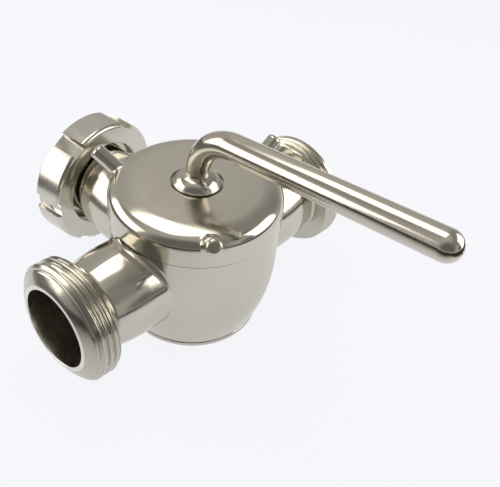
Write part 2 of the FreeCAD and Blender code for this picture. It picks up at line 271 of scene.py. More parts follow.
@dataclass(frozen=True)
class RoundThread:
    """Round pipe thread, right-handed, between a crest and a root radius in mm."""

    crest_r: float = 39.0
    root_r: float = 37.0
    pitch: float = 25.4 / 6
    lead_turn: float = 40.0

    def depth(self, height: float, turn: float, start: float, start_turn: float) -> float:
        """Share of the thread's depth that is cut at a place.

        The groove starts at one place at the mouth, deepens over its first degrees, and winds
        back from there, so the land ahead of its first turn stays plain.

        Args:
            height: Place along the axis in mm.
            turn: Place round the axis in degrees.
            start: Height at which the groove starts, in mm.
            start_turn: Place round the axis at which it starts, in degrees.

        Returns:
            0 on a crest, 1 at the bottom of a groove.
        """
        wound = (start_turn - turn) % 360 / 360
        below = (start - height) / self.pitch - wound
        turns = max(0, round(below))
        off = below - turns
        if abs(off) >= 0.5:
            return 0.0
        wave = math.cos(math.tau * off)
        lead = min(1.0, (wound + turns) * 360 / self.lead_turn)
        # Crest and root are a little flatter than a cosine's, and the lead-in eases at both ends.
        rounded = 0.5 + 0.5 * wave * (1.5 - 0.5 * wave * wave)
        return rounded * lead * lead * (3 - 2 * lead)

    def cut(self, piece: Piece, low: float, high: float, start: float, start_turn: float,
            inside: bool) -> None:
        """Cuts the thread into a piece turned about Z.

        The vertices near the crest, or near the root radius inside a nut, are cast on the
        other radius, by as much as the groove asks for at each.

        Args:
            piece: Piece that gets the thread.
            low: Lower end of the threaded band in mm.
            high: Upper end of the threaded band in mm.
            start: Height at which the groove starts, in mm.
            start_turn: Place round the axis at which it starts, in degrees.
            inside: Whether the thread is in a bore.
        """
        ready_r, cut_r = (self.root_r, self.crest_r) if inside else (self.crest_r, self.root_r)
        reach = self.crest_r - self.root_r + 10 * TOUCH_MM
        group = piece.vertex_groups.new(name="thread")
        for vertex in piece.data.vertices:
            x, y, z = (part / MM for part in vertex.co)
            radius = math.hypot(x, y)
            gap = cut_r - radius
            if not low - TOUCH_MM <= z <= high + TOUCH_MM or abs(gap) > reach:
                continue
            groove = self.depth(z, math.degrees(math.atan2(y, x)), start, start_turn)
            aim = ready_r + (cut_r - ready_r) * groove
            share = (aim - radius) / gap if abs(gap) > SAME_MM else 0.0
            if share > 0:
                group.add([vertex.index], min(share, 1.0), "REPLACE")
        finish_modifier(piece, "CAST", cast_type="CYLINDER", use_z=False, factor=1.0,
                        use_radius_as_size=False, radius=0.0, size=cut_r * MM, vertex_group="thread")
        piece.vertex_groups.clear()


@dataclass
class ThreadedEnd:
    """Male pipe end: welded tube, thread collar and a swelling cone round the mouth, in mm."""

    node: str
    way: tuple[float, float, float]
    start_turn: float
    start_inset: float = 3.1
    thread: RoundThread = field(default_factory=RoundThread)
    bore_r: float = 25.0
    tube_r: float = 26.5
    foot: float = 87.2
    collar: float = 92.5
    collar_len: float = 14.6
    weld_fillet: float = 2.0
    back_land: float = 1.0
    back_chamfer: float = 1.9
    front_chamfer: float = 1.6
    chamfer_steps: int = 6
    band_steps: int = 34
    groove: float = 0.7
    groove_width: float = 0.75
    nose_r: float = 35.8
    nose_len: float = 5.8
    nose_round: float = 2.6
    nose_from: float = 20.0
    nose_to: float = 62.0
    nose_swell: float = 0.15
    mouth_r: float = 25.9
    mouth_len: float = 6.0
    rim: float = 1.9
    rim_round: float = 0.5
    facets: int = 180

    def outline(self) -> Outline:
        """Works out the end's half-section, with the thread's band finely divided.

        Returns:
            Points (radius, height) in mm.
        """
        nose = self.collar + self.collar_len
        face = nose + self.nose_len
        crest = self.thread.crest_r
        low, high = self.collar + self.back_chamfer, nose - self.front_chamfer
        shares = [index / self.chamfer_steps for index in range(self.chamfer_steps + 1)]
        back = [(crest - self.back_chamfer * (1 - share), self.collar + self.back_chamfer * share)
                for share in shares[:-1]]
        band = [(crest, low + (high - low) * index / self.band_steps)
                for index in range(self.band_steps + 1)]
        front = [(crest - self.front_chamfer * share, high + self.front_chamfer * share)
                 for share in shares[1:]]
        start = math.radians(self.nose_from)
        middle = (self.nose_r - self.nose_round * math.cos(start),
                  nose + self.groove_width - self.nose_round * math.sin(start))
        edge = arc(middle, self.nose_round, self.nose_from, self.nose_to, 9)
        cone_end = (self.mouth_r + self.rim, face)
        weld = (self.tube_r + self.weld_fillet, self.collar - self.weld_fillet)
        lip = (self.mouth_r + self.rim_round, face - self.rim_round)
        return [(self.bore_r, self.foot), (self.tube_r, self.foot), (self.tube_r, weld[1]),
                *arc(weld, self.weld_fillet, 180, 90, 6)[1:],
                (crest - self.back_chamfer - self.back_land, self.collar), *back, *band, *front,
                (self.nose_r + self.groove, nose),
                *arc((self.nose_r + self.groove, nose + self.groove), self.groove, 270, 190, 5)[1:],
                *edge, *swell(edge[-1], cone_end, -self.nose_swell, 8), cone_end,
                *arc(lip, self.rim_round, 90, 180, 5),
                (self.bore_r, face - self.mouth_len)]

    def build(self, material: Material) -> Piece:
        """Builds the end, cuts its thread and dresses it.

        Args:
            material: Finish of the end.

        Returns:
            The end.
        """
        piece = spun("end_" + self.node.split("_")[-1], self.outline(), self.facets)
        nose = self.collar + self.collar_len
        self.thread.cut(piece, self.collar, nose, nose - self.start_inset, self.start_turn,
                        inside=False)
        smooth(piece)
        lay(piece, (0, 0, PORT_Z), Vector(self.way))
        dress(piece, material)
        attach(piece, "valve")
        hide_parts(self.node)
        return piece


@dataclass
class UnionNut:
    """Round nut with six slots, hanging loose on the liner, in mm.

    Its groove starts beyond the mouth by start_over, and the slot cutters stand clear all round.
    """

    thread: RoundThread = field(default_factory=RoundThread)
    outer_r: float = 46.0
    hole_r: float = 31.4
    width: float = 22.0
    flange: float = 5.0
    relief: float = 1.5
    lead: float = 2.0
    lead_steps: int = 5
    band_steps: int = 40
    start_over: float = 2.0
    back_round: float = 3.0
    front_round: float = 1.2
    hole_round: float = 0.8
    slots: int = 6
    slot_width: float = 11.0
    slot_depth: float = 3.0
    slot_turn: float = 55.0
    clear: float = 2.0
    edge_round: float = 0.35
    facets: int = 240

    def outline(self) -> Outline:
        """Works out the nut's half-section, with the thread's band finely divided.

        Returns:
            Points (radius, height) in mm.
        """
        root, crest = self.thread.root_r, self.thread.crest_r
        high, low = self.width - self.lead, self.flange + self.relief
        band = [(root, high + (low - high) * index / self.band_steps)
                for index in range(self.band_steps + 1)]
        steps = [self.lead * index / self.lead_steps for index in range(self.lead_steps)]
        lead = [(crest - step, self.width - step) for step in steps]
        back = (self.outer_r - self.back_round, self.back_round)
        front = (self.outer_r - self.front_round, self.width - self.front_round)
        hole = (self.hole_r + self.hole_round, self.hole_round)
        return [(hole[0], 0), (back[0], 0), *arc(back, self.back_round, -90, 0, 8)[1:],
                (self.outer_r, front[1]), *arc(front, self.front_round, 0, 90, 5)[1:],
                *lead, *band, (root, self.flange), (self.hole_r, self.flange),
                *arc(hole, self.hole_round, 180, 270, 4)[:-1]]

    def slot_cutter(self) -> Piece:
        """Builds the ring of slot cutters round Z, whose inner faces follow the nut's round.

        Returns:
            The cutters as one piece.
        """
        floor_r, clear_r = self.outer_r - self.slot_depth, self.outer_r + self.clear
        low, high = -self.clear, self.width + self.clear
        ring = spun("slot_ring", [(floor_r, low), (clear_r, low), (clear_r, high), (floor_r, high)],
                    self.facets)
        deselect()
        reach = self.slot_depth + 3 * self.clear
        bpy.ops.mesh.primitive_cube_add(size=1)
        cutter = bpy.context.object
        bpy.ops.object.mode_set(mode="EDIT")
        bpy.ops.transform.resize(value=(reach * MM, self.slot_width * MM, 2 * self.width * MM))
        bpy.ops.transform.translate(
            value=((floor_r - self.clear + reach / 2) * MM, 0, self.width / 2 * MM))
        bpy.ops.transform.rotate(value=math.radians(self.slot_turn), orient_axis="Z",
                                 center_override=(0, 0, 0))
        bpy.ops.mesh.spin(steps=self.slots, dupli=True, angle=math.tau, center=(0, 0, 0),
                          axis=(0, 0, 1))
        tidy_mesh()
        finish_modifier(cutter, "BOOLEAN", operation="INTERSECT", object=ring, solver="EXACT")
        bpy.data.objects.remove(ring)
        return cutter

    def build(self, material: Material) -> Piece:
        """Builds the nut, cuts thread and slots and dresses it.

        Args:
            material: Finish of the nut.

        Returns:
            The nut.
        """
        piece = spun("nut_round_slotted", self.outline(), self.facets)
        self.thread.cut(piece, self.flange + self.relief, self.width, self.width + self.start_over,
                        0.0, inside=True)
        cutter = self.slot_cutter()
        pick(piece)
        finish_modifier(piece, "BOOLEAN", operation="DIFFERENCE", object=cutter, solver="EXACT")
        bpy.data.objects.remove(cutter)
        finish_modifier(piece, "BEVEL", width=self.edge_round * MM, segments=2,
                        limit_method="ANGLE", angle_limit=math.radians(50))
        bpy.ops.object.mode_set(mode="EDIT")
        bpy.ops.mesh.select_all(action="SELECT")
        bpy.ops.transform.translate(value=(0, 0, -self.flange * MM))
        bpy.ops.object.mode_set(mode="OBJECT")
        smooth(piece)
        lay(piece, NUT_FOOT, Vector(NUT_WAY))
        dress(piece, material)
        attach(piece, "nut")
        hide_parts("union_nut")
        return piece


@dataclass(frozen=True)
class GripPeg:
    """Where a grip peg stands on the cap: its line crosses a ring inside the shoulder, in mm."""

    azimuth: float
    rise: float = 37.0
    ring_r: float = 47.5
    ring_z: float = 92.4
    radius: float = 5.0

    def pose(self, along: float) -> Matrix:
        """Place on the peg's line, with Z along the peg and X down the shoulder.

        Args:
            along: Distance from the ring in mm.

        Returns:
            The pose, in metres.
        """
        turn, rise = math.radians(self.azimuth), math.radians(self.rise)
        out = Vector((math.cos(turn), math.sin(turn), 0))
        way = out * math.cos(rise) + Vector((0, 0, math.sin(rise)))
        foot = out * self.ring_r + Vector((0, 0, self.ring_z)) + way * along
        side = Vector((0, 0, 1)).cross(out)
        axes = Matrix((side.cross(way), side, way)).transposed().to_4x4()
        return Matrix.Translation(foot * MM) @ axes


@dataclass
class ScrewCap:
    """Cap whose crown rolls over softly, then tighter, into its skirt, with peg sockets, in mm."""

    pegs: tuple[GripPeg, ...]
    outer_r: float = 55.9
    inner_r: float = 51.3
    foot: float = 80.6
    edge: float = 0.25
    roof: float = 96.2
    boss_r: float = 26.1
    boss_foot: float = 93.3
    seat_r: float = 19.1
    lip: float = 97.7
    hole_r: float = 16.0
    hole_round: float = 0.3
    recess: float = 0.8
    recess_depth: float = 2.2
    recess_bevel: float = 0.2
    top: float = 102.7
    crown_drop: float = 0.35
    crown_swell: float = 0.1
    roll_r: float = 32.0
    roll_start: float = 1.94
    roll_end: float = 19.0
    shoulder_r: float = 9.2
    socket_from: float = 5.8
    socket_play: float = 0.03

    def shoulder(self) -> tuple[float, float]:
        """Works out where the centre of the shoulder's arc lies.

        Returns:
            Its radius and height in mm.
        """
        start, end = math.radians(self.roll_start), math.radians(self.roll_end)
        fall = self.roll_r * (math.cos(start) - math.cos(end)) + self.shoulder_r * math.cos(end)
        return self.outer_r - self.shoulder_r, self.top - self.crown_drop - fall

    def outline(self) -> Outline:
        """Works out the cap's half-section.

        Returns:
            Points (radius, height) in mm.
        """
        middle = self.shoulder()
        end = math.radians(self.roll_end)
        off = self.shoulder_r - self.roll_r
        roll_middle = (middle[0] + off * math.sin(end), middle[1] + off * math.cos(end))
        roll = arc(roll_middle, self.roll_r, 90 - self.roll_end, 90 - self.roll_start, 9)
        rim_r, ledge = self.hole_r + self.recess, self.top - self.recess_depth
        return [(self.inner_r + self.edge, self.foot), (self.outer_r - self.edge, self.foot),
                (self.outer_r, self.foot + self.edge),
                *arc(middle, self.shoulder_r, 0, 90 - self.roll_end, 18),
                *roll[1:], *swell(roll[-1], (rim_r, self.top), -self.crown_swell, 8),
                *arc((rim_r + self.hole_round, self.top - self.hole_round), self.hole_round,
                     90, 180, 4),
                (rim_r, ledge), (self.hole_r, ledge - self.recess_bevel), (self.hole_r, self.lip),
                (self.seat_r, self.lip), (self.seat_r, self.boss_foot),
                (self.boss_r, self.boss_foot), (self.boss_r, self.roof), (self.inner_r, self.roof),
                (self.inner_r, self.foot + self.edge)]

    def build(self, material: Material) -> Piece:
        """Builds the cap, cuts the pegs' sockets and dresses it.

        Args:
            material: Finish of the cap.

        Returns:
            The cap.
        """
        piece = spun("cap_rolled_crown", self.outline(), 240)
        depth = 2 * self.shoulder_r
        for peg in self.pegs:
            deselect()
            bpy.ops.mesh.primitive_cylinder_add(
                vertices=96, radius=(peg.radius + self.socket_play) * MM, depth=depth * MM)
            cutter = bpy.context.object
            cutter.matrix_world = peg.pose(self.socket_from + depth / 2)
            pick(piece)
            finish_modifier(piece, "BOOLEAN", operation="DIFFERENCE", object=cutter, solver="EXACT")
            bpy.data.objects.remove(cutter)
        smooth(piece)
        dress(piece, material)
        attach(piece, "cap")
        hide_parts("screw_cap")
        return piece


@dataclass
class PegWeld:
    """Ground weld fillet round the foot of a grip peg on the cap's shoulder, in mm.

    Its root is sunk into the cap, and its skirt ends almost flush, just under the cap's skin.
    """

    peg: GripPeg
    number: int
    shoulder: tuple[float, float]
    shoulder_r: float
    fillet: float = 1.9
    play: float = 0.02
    skirt: float = 0.3
    sunk: float = 0.9
    flush: float = 0.05

    def build(self, material: Material) -> Piece:
        """Builds the fillet, bends it over the shoulder and dresses it.

        Args:
            material: Finish of the fillet.

        Returns:
            The fillet.
        """
        inner, outer = self.peg.radius + self.play, self.peg.radius + self.fillet
        section = [(inner, -self.sunk), (outer + self.skirt, -self.sunk),
                   (outer + self.skirt, -self.flush),
                   *arc((outer, self.fillet), self.fillet, 270, 185, 7)]
        piece = spun(f"peg_weld_{self.number}", section, 72)
        rise = math.radians(self.peg.rise)
        off_r, off_z = self.shoulder[0] - self.peg.ring_r, self.shoulder[1] - self.peg.ring_z
        behind = off_r * math.cos(rise) + off_z * math.sin(rise)
        aside = off_r * math.sin(rise) - off_z * math.cos(rise)
        group = piece.vertex_groups.new(name="all")
        for vertex in piece.data.vertices:
            across = vertex.co.x / MM - aside
            drop = self.shoulder_r - math.sqrt(self.shoulder_r ** 2 - across ** 2)
            group.add([vertex.index], drop / self.shoulder_r, "REPLACE")
        finish_modifier(piece, "DISPLACE", direction="Z", mid_level=0.0,
                        strength=-self.shoulder_r * MM, vertex_group="all")
        piece.vertex_groups.clear()
        smooth(piece, 60)
        piece.matrix_world = self.peg.pose(behind + self.shoulder_r)
        bpy.ops.object.transform_apply(location=True, rotation=True, scale=True)
        dress(piece, material)
        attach(piece, "cap")
        return piece


@dataclass
class LeverFoot:
    """Ground weld cone between the lever's neck and the rim of its foot, in mm."""

    rim_r: float = 15.45
    rim_z: float = 101.6
    rim_round: float = 1.2
    neck_r: float = 7.5
    neck_z: float = 110.6
    neck_round: float = 3.0
    play: float = 0.03
    sunk: float = 0.5
    hollow: float = 1.15

    def outline(self) -> Outline:
        """Works out the cone's half-section.

        Returns:
            Points (radius, height) in mm.
        """
        rim = (self.rim_r - self.rim_round, self.rim_z + self.rim_round)
        neck = (self.neck_r + self.play + self.neck_round, self.neck_z)
        inner = self.neck_r - self.sunk
        low = arc(rim, self.rim_round, 0, 72, 7)
        high = arc(neck, self.neck_round, 200, 180, 4)
        return [(inner, self.rim_z), (self.rim_r, self.rim_z), *low,
                *swell(low[-1], high[0], -self.hollow, 10), *high, (inner, self.neck_z)]

    def build(self, material: Material) -> Piece:
        """Builds the cone and dresses it.

        Args:
            material: Finish of the cone.

        Returns:
            The cone.
        """
        piece = spun("lever_foot_cone", self.outline(), 180)
        smooth(piece, 50)
        dress(piece, material)
        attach(piece, "rotor")
        return piece


def new_material(name: str) -> tuple[Material, NodeTree, Node]:
    """Makes a material.

    Args:
        name: Name of the material.

    Returns:
        The material, its node tree and its shader.
    """
    material = bpy.data.materials.new(name)
    material.use_nodes = True
    return material, material.node_tree, material.node_tree.nodes["Principled BSDF"]


def turned_place(tree: NodeTree, axis: Axis) -> tuple[Socket, Socket, Socket]:
    """Works out where a point of a turned surface lies about its axis.

    Args:
        tree: Node tree that gets the nodes.
        axis: Axis of the lathe.

    Returns:
        Distance from the axis and height along it in metres, and the way of the tool marks.
    """
    foot, turn = axis.value
    place = add_node(tree, "ShaderNodeTexCoord").outputs["Object"]
    local = add_node(tree, "ShaderNodeMapping", {"vector_type": "TEXTURE"}, Vector=place,
                     Location=[part * MM for part in foot],
                     Rotation=[math.radians(angle) for angle in turn]).outputs["Vector"]
    parts = add_node(tree, "ShaderNodeSeparateXYZ", Vector=local)
    flat = add_node(tree, "ShaderNodeVectorMath", {"operation": "MULTIPLY"}, in0=local,
                    in1=(1, 1, 0))
    away = add_node(tree, "ShaderNodeVectorMath", {"operation": "LENGTH"},
                    in0=flat.outputs["Vector"])
    round_way = add_node(tree, "ShaderNodeVectorMath", {"operation": "CROSS_PRODUCT"},
                         in0=(0, 0, 1), in1=local)
    way = add_node(tree, "ShaderNodeMapping", {"vector_type": "VECTOR"},
                   Vector=round_way.outputs["Vector"],
                   Rotation=[math.radians(angle) for angle in turn])
    world_way = add_node(tree, "ShaderNodeVectorTransform",
                         {"vector_type": "VECTOR", "convert_from": "OBJECT", "convert_to": "WORLD"},
                         Vector=way.outputs["Vector"])
    return away.outputs["Value"], parts.outputs["Z"], world_way.outputs["Vector"]


def share_between(tree: NodeTree, value: Socket, low: float, high: float, start: float,
                  end: float) -> Socket:
    """Eases one value while another goes up.

    Args:
        tree: Node tree that gets the node.
        value: Value that goes up.
        low: Where the easing begins.
        high: Where it is over.
        start: Result up to low.
        end: Result from high on.

    Returns:
        The eased value.
    """
    eased = add_node(tree, "ShaderNodeMapRange", {"interpolation_type": "SMOOTHSTEP"}, Value=value,
                     From_Min=low, From_Max=high, To_Min=start, To_Max=end)
    return eased.outputs["Result"]


def added(tree: NodeTree, first: Socket, second: Socket) -> Socket:
    """Adds one value to another."""
    return add_node(tree, "ShaderNodeMath", {"operation": "ADD"}, in0=first, in1=second).outputs[0]


def facing(tree: NodeTree, way: Socket, azimuth: float, elevation: float) -> Socket:
    """Works out how far a place lies along a direction.

    Args:
        tree: Node tree that gets the node.
        way: The place, or a unit vector.
        azimuth: Azimuth of the direction in degrees.
        elevation: Elevation of the direction in degrees.

    Returns:
        The distance, or the cosine of the angle between the two.
    """
    return add_node(tree, "ShaderNodeVectorMath", {"operation": "DOT_PRODUCT"}, in0=way,
                    in1=direction(azimuth, elevation)).outputs["Value"]


def noise(tree: NodeTree, place: Socket, size_mm: float, detail: float) -> Socket:
    """Adds a cloudy noise.

    Args:
        tree: Node tree that gets the node.
        place: Where the noise is read, in metres.
        size_mm: Size of its patches in mm.
        detail: Finer layers on top.

    Returns:
        The noise, around 0.5.
    """
    return add_node(tree, "ShaderNodeTexNoise", Vector=place, Scale=1 / (size_mm * MM),
                    Detail=detail).outputs["Fac"]


def swayed_tint(tree: NodeTree, share: Socket, tint: str) -> Socket:
    """Lets a metal's tint sway a little.

    Args:
        tree: Node tree that gets the node.
        share: 0 where the tint is at its darkest, 1 at its lightest.
        tint: Mean tint as six hex digits.

    Returns:
        The colour.
    """
    parts = linear(tint)[:3]
    dark, light = ([min(1.0, part * (1 + sway)) for part in parts] + [1.0]
                   for sway in (-TINT_SWAY, TINT_SWAY))
    return add_node(tree, "ShaderNodeMix", {"data_type": "RGBA"}, in0=share, in6=dark,
                    in7=light).outputs[2]


def bumped(tree: NodeTree, height: Socket, depth_mm: float, **values: Any) -> Socket:
    """Adds a bump.

    Args:
        tree: Node tree that gets the node.
        height: Height of the surface, 0 to 1.
        depth_mm: What a height of 1 stands for, in mm.
        values: Other inputs of the bump, such as the normal that it starts from.

    Returns:
        The normal.
    """
    return add_node(tree, "ShaderNodeBump", Height=height, Strength=1.0, Distance=depth_mm * MM,
                    **values).outputs["Normal"]


@dataclass(frozen=True)
class BuffedSteel:
    """Stainless steel 1.4404, cast or bar, ground and buffed with a sisal wheel.

    The eye sees the room in it, slightly warm. The reflections waver where the wheel dug in, and
    its fine lines and a haze of compound blur them unevenly. The lines are really about 0.05 mm
    apart, and are drawn 0.5 mm apart to show at all. What stays satin, such as a bore or a faced
    top, lies within a distance of an axis.
    """

    name: str
    tint: str = "CFCBBF"
    roughness: float = 0.11
    haze: float = 0.06
    wave_mm: float = 13.0
    wave_depth_mm: float = 0.012
    line_mm: tuple[float, float, float] = (0.5, 14.0, 0.5)
    line_span: tuple[float, float] = (0.35, 0.75)
    line_depth_mm: float = 0.0004
    satin_axes: tuple[Axis, ...] = ()
    satin_mm: float = 25.4
    satin_ease_mm: float = 0.4
    satin_roughness: float = 0.24

    def make(self) -> Material:
        """Builds the material.

        Returns:
            The material.
        """
        material, tree, shader = new_material(self.name)
        shader.inputs["Metallic"].default_value = 1.0
        place = add_node(tree, "ShaderNodeTexCoord").outputs["Object"]
        cloud = noise(tree, place, self.wave_mm, 3.0)
        long_place = add_node(tree, "ShaderNodeMapping", Vector=place,
                              Scale=[1 / (part * MM) for part in self.line_mm]).outputs["Vector"]
        lines = add_node(tree, "ShaderNodeTexNoise", Vector=long_place, Scale=1.0,
                         Detail=2.0).outputs["Fac"]
        rough = added(tree, share_between(tree, cloud, *NOISE_SPAN, self.roughness,
                                          self.roughness + self.haze),
                      share_between(tree, lines, *self.line_span, 0.0, self.haze / 2))
        for axis in self.satin_axes:
            away = turned_place(tree, axis)[0]
            rough = added(tree, rough, share_between(
                tree, away, (self.satin_mm - self.satin_ease_mm) * MM, self.satin_mm * MM,
                self.satin_roughness - self.roughness, 0.0))
        tree.links.new(rough, shader.inputs["Roughness"])
        tree.links.new(swayed_tint(tree, cloud, self.tint), shader.inputs["Base Color"])
        waves = bumped(tree, cloud, self.wave_depth_mm)
        tree.links.new(bumped(tree, lines, self.line_depth_mm, Normal=waves), shader.inputs["Normal"])
        return material


@dataclass(frozen=True)
class TurnedSteel:
    """Stainless steel turned on a lathe and polished with fine cloth.

    Its tool marks run round the axis, so a light is drawn out into a soft band along the axis.
    They are really 0.1 to 0.2 mm apart, and are drawn 0.5 to 1.6 mm apart to show at all. A bore
    keeps the rougher marks of the boring bar, and a rim far along the axis gets a lighter tint, a
    painted highlight.
    """

    name: str
    axis: Axis
    tint: str = "CFCBBF"
    roughness: float = 0.1
    haze: float = 0.04
    anisotropy: float = 0.25
    mark_mm: float = 1.6
    waver_mm: float = 9.0
    waver_depth_mm: float = 0.006
    ease_mm: float = 0.4
    bore_mm: float = 0.0
    bore_roughness: float = 0.24
    rim_mm: float = 0.0
    # Lighter tint of the rim far along the axis, a painted highlight.
    rim_highlight_tint: str = "F1EFEA"

    def make(self) -> Material:
        """Builds the material.

        Returns:
            The material.
        """
        material, tree, shader = new_material(self.name)
        shader.inputs["Metallic"].default_value = 1.0
        shader.inputs["Anisotropic"].default_value = self.anisotropy
        away, height, way = turned_place(tree, self.axis)
        tree.links.new(way, shader.inputs["Tangent"])
        marks = add_node(tree, "ShaderNodeTexNoise", {"noise_dimensions": "1D"},
                         W=added(tree, away, height), Scale=1 / (self.mark_mm * MM),
                         Detail=2.0).outputs["Fac"]
        place = add_node(tree, "ShaderNodeTexCoord").outputs["Object"]
        cloud = noise(tree, place, self.waver_mm, 3.0)
        rough = added(tree, share_between(tree, cloud, *NOISE_SPAN, self.roughness - self.haze / 2,
                                          self.roughness + self.haze / 2),
                      share_between(tree, marks, *NOISE_SPAN, 0.0, self.haze))
        if self.bore_mm:
            rough = added(tree, rough, share_between(
                tree, away, (self.bore_mm - self.ease_mm) * MM, self.bore_mm * MM,
                self.bore_roughness - self.roughness, 0.0))
        tree.links.new(rough, shader.inputs["Roughness"])
        colour = swayed_tint(tree, marks, self.tint)
        # Painted highlight: the tint is lightened on the rim far along the axis, so that it shows as
        # a bright ring.
        if self.rim_mm:
            out = add_node(tree, "ShaderNodeMath", {"operation": "ABSOLUTE"}, in0=height).outputs[0]
            painted_rim_highlight = share_between(tree, out, (self.rim_mm - self.ease_mm) * MM, self.rim_mm * MM,
                                   0.0, 1.0)
            colour = add_node(tree, "ShaderNodeMix", {"data_type": "RGBA"}, in0=painted_rim_highlight, in6=colour,
                              in7=linear(self.rim_highlight_tint)).outputs[2]
        tree.links.new(colour, shader.inputs["Base Color"])
        tree.links.new(bumped(tree, cloud, self.waver_depth_mm), shader.inputs["Normal"])
        return material


@dataclass(frozen=True)
class MouldedSoft:
    """Soft sealing material, white PTFE cut from bar or black EPDM rubber from a mould.

    The eye sees no metal gloss, but a soft sheen that breaks up over a fine grain, about
    0.4 mm wide, and slightly cloudy colour.
    """

    name: str
    colour: str
    cloudy: str
    roughness: float
    ior: float
    haze: float = 0.06
    cloud_mm: float = 6.0
    grain_mm: float = 0.4
    grain_depth_mm: float = 0.008

    def make(self) -> Material:
        """Builds the material.

        Returns:
            The material.
        """
        material, tree, shader = new_material(self.name)
        shader.inputs["IOR"].default_value = self.ior
        place = add_node(tree, "ShaderNodeTexCoord").outputs["Object"]
        cloud = noise(tree, place, self.cloud_mm, 4.0)
        colour = add_node(tree, "ShaderNodeMix", {"data_type": "RGBA"}, in0=cloud,
                          in6=linear(self.colour), in7=linear(self.cloudy)).outputs[2]
        tree.links.new(colour, shader.inputs["Base Color"])
        rough = share_between(tree, cloud, *NOISE_SPAN, self.roughness - self.haze,
                              self.roughness + self.haze)
        tree.links.new(rough, shader.inputs["Roughness"])
        grain = noise(tree, place, self.grain_mm, 2.0)
        tree.links.new(bumped(tree, grain, self.grain_depth_mm), shader.inputs["Normal"])
        return material


@dataclass
class Softbox:
    """Rectangular studio lamp that faces the valve, at a distance in metres.

    Its place and its size are the angles in degrees at which the valve sees it.
    """

    name: str
    azimuth: float
    elevation: float
    width: float
    height: float
    radiance: float
    distance: float
    aim_mm: float = 70.0
    colour: str = "FFF9F0"

    def place(self) -> None:
        """Adds the lamp."""
        aim = Vector((0, 0, self.aim_mm * MM))
        way = direction(self.azimuth, self.elevation)
        size = [2 * self.distance * math.tan(math.radians(angle / 2))
                for angle in (self.width, self.height)]
        lamp = bpy.data.lights.new(self.name, "AREA")
        lamp.shape = "RECTANGLE"
        lamp.size, lamp.size_y = size
        lamp.energy = self.radiance * math.pi * size[0] * size[1]
        lamp.color = linear(self.colour)[:3]
        holder = bpy.data.objects.new(self.name, lamp)
        bpy.context.collection.objects.link(holder)
        turn = way.to_track_quat("Z", "Y").to_matrix().to_4x4()
        holder.matrix_world = Matrix.Translation(aim + way * self.distance) @ turn
        holder.visible_camera = False


@dataclass(frozen=True)
class RoomPatch:
    """Part of the room that has a share of the light of the rest, with a soft edge, in degrees."""

    azimuth: float
    elevation: float
    inner: float
    outer: float
    share: float


